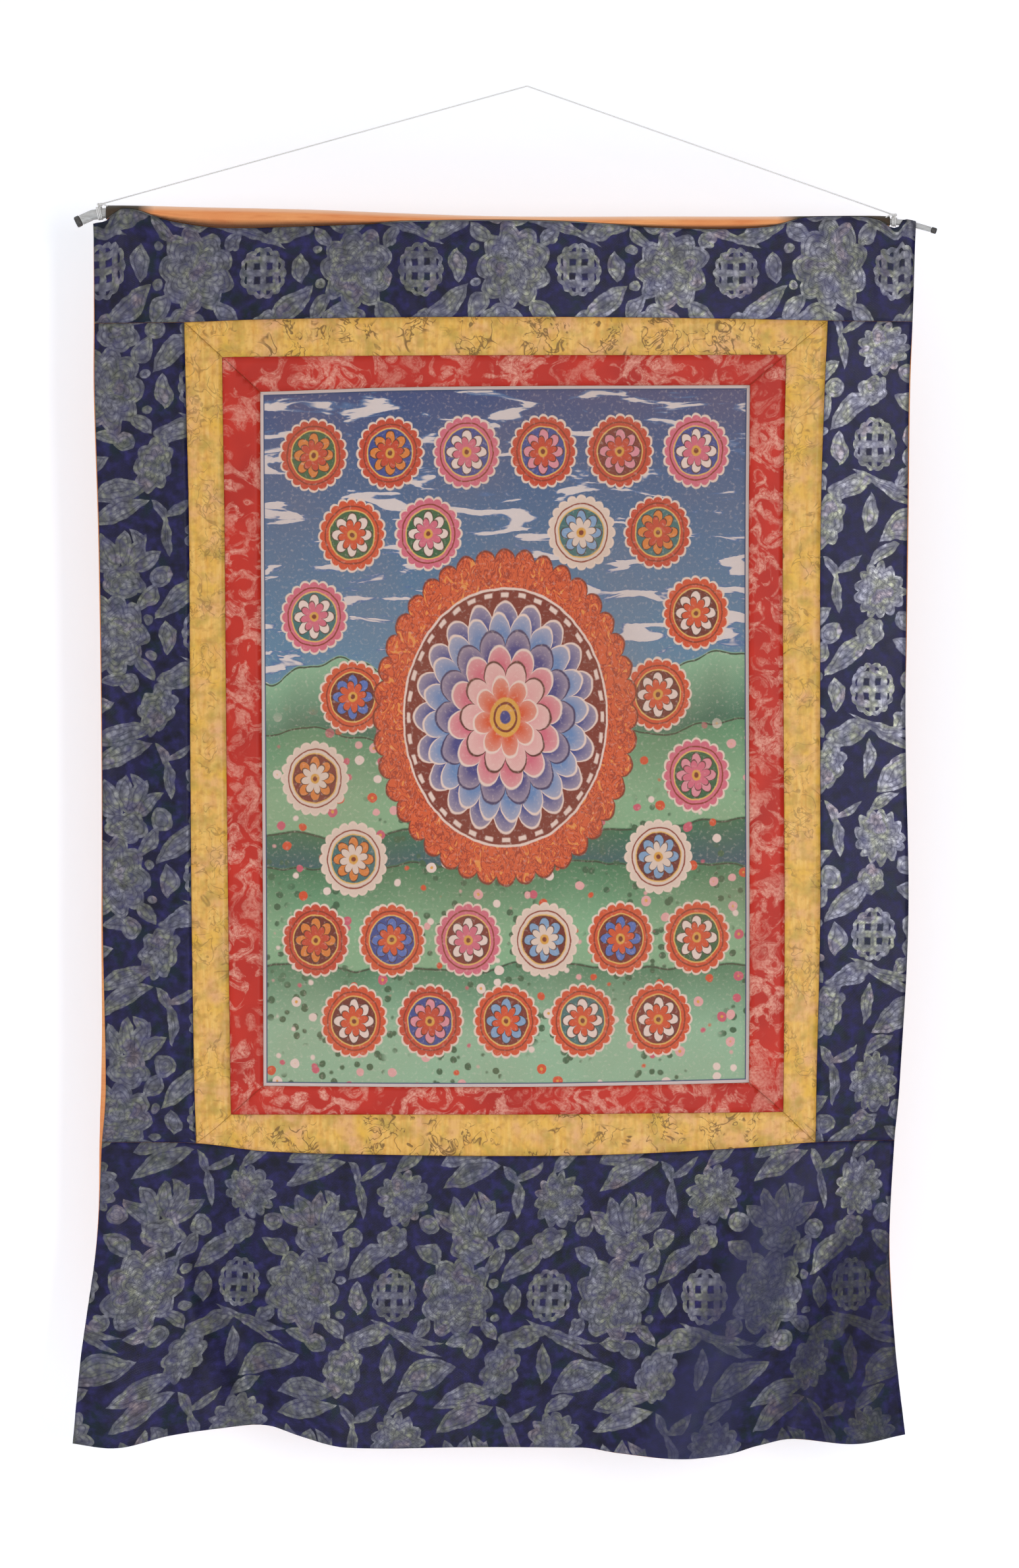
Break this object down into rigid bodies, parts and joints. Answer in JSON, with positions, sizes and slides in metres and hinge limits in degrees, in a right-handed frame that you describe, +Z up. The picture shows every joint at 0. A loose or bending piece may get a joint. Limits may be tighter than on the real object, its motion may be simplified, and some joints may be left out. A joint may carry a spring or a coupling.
{
  "type": "thangka scroll painting with top rod and hanging cord",
  "caption": "Painted canvas in mitred red and yellow silk borders on a navy brocade mount with an orange lining, hung from a slim rod by a cord.",
  "frame": {"origin": "the top of the nail that the hanging cord goes over, at the cord's highest point", "axes": "+Z up, +X to the viewer's right, and the painted front faces -Y"},
  "size_m": [0.8131, 0.0445, 1.2894],
  "materials": {
    "navy_brocade": "satin with silver-grey metallic figures",
    "yellow_silk": "satin with small olive-brown figures",
    "red_silk": "satin with pale pink woven figures",
    "painted_canvas": "matt pigment on fine cotton",
    "orange_lining": "plain matt cotton",
    "grey_rod": "pale grey paint",
    "dark_rod_tip": "dark lacquer",
    "pale_cord": "twisted cotton"
  },
  "bodies": {
    "root": {"brocade_top": "navy_brocade", "brocade_left": "navy_brocade", "brocade_right": "navy_brocade", "brocade_foot": "navy_brocade", "yellow_top": "yellow_silk", "yellow_foot": "yellow_silk", "yellow_left": "yellow_silk", "yellow_right": "yellow_silk", "red_top": "red_silk", "red_foot": "red_silk", "red_left": "red_silk", "red_right": "red_silk", "painting": "painted_canvas", "lining": "orange_lining", "rod": "grey_rod", "rod_tip_left": "dark_rod_tip", "rod_tip_right": "dark_rod_tip", "hanging_cord": "pale_cord", "cord_tie_left": "pale_cord", "cord_tie_right": "pale_cord"}
  },
  "joints": []
}
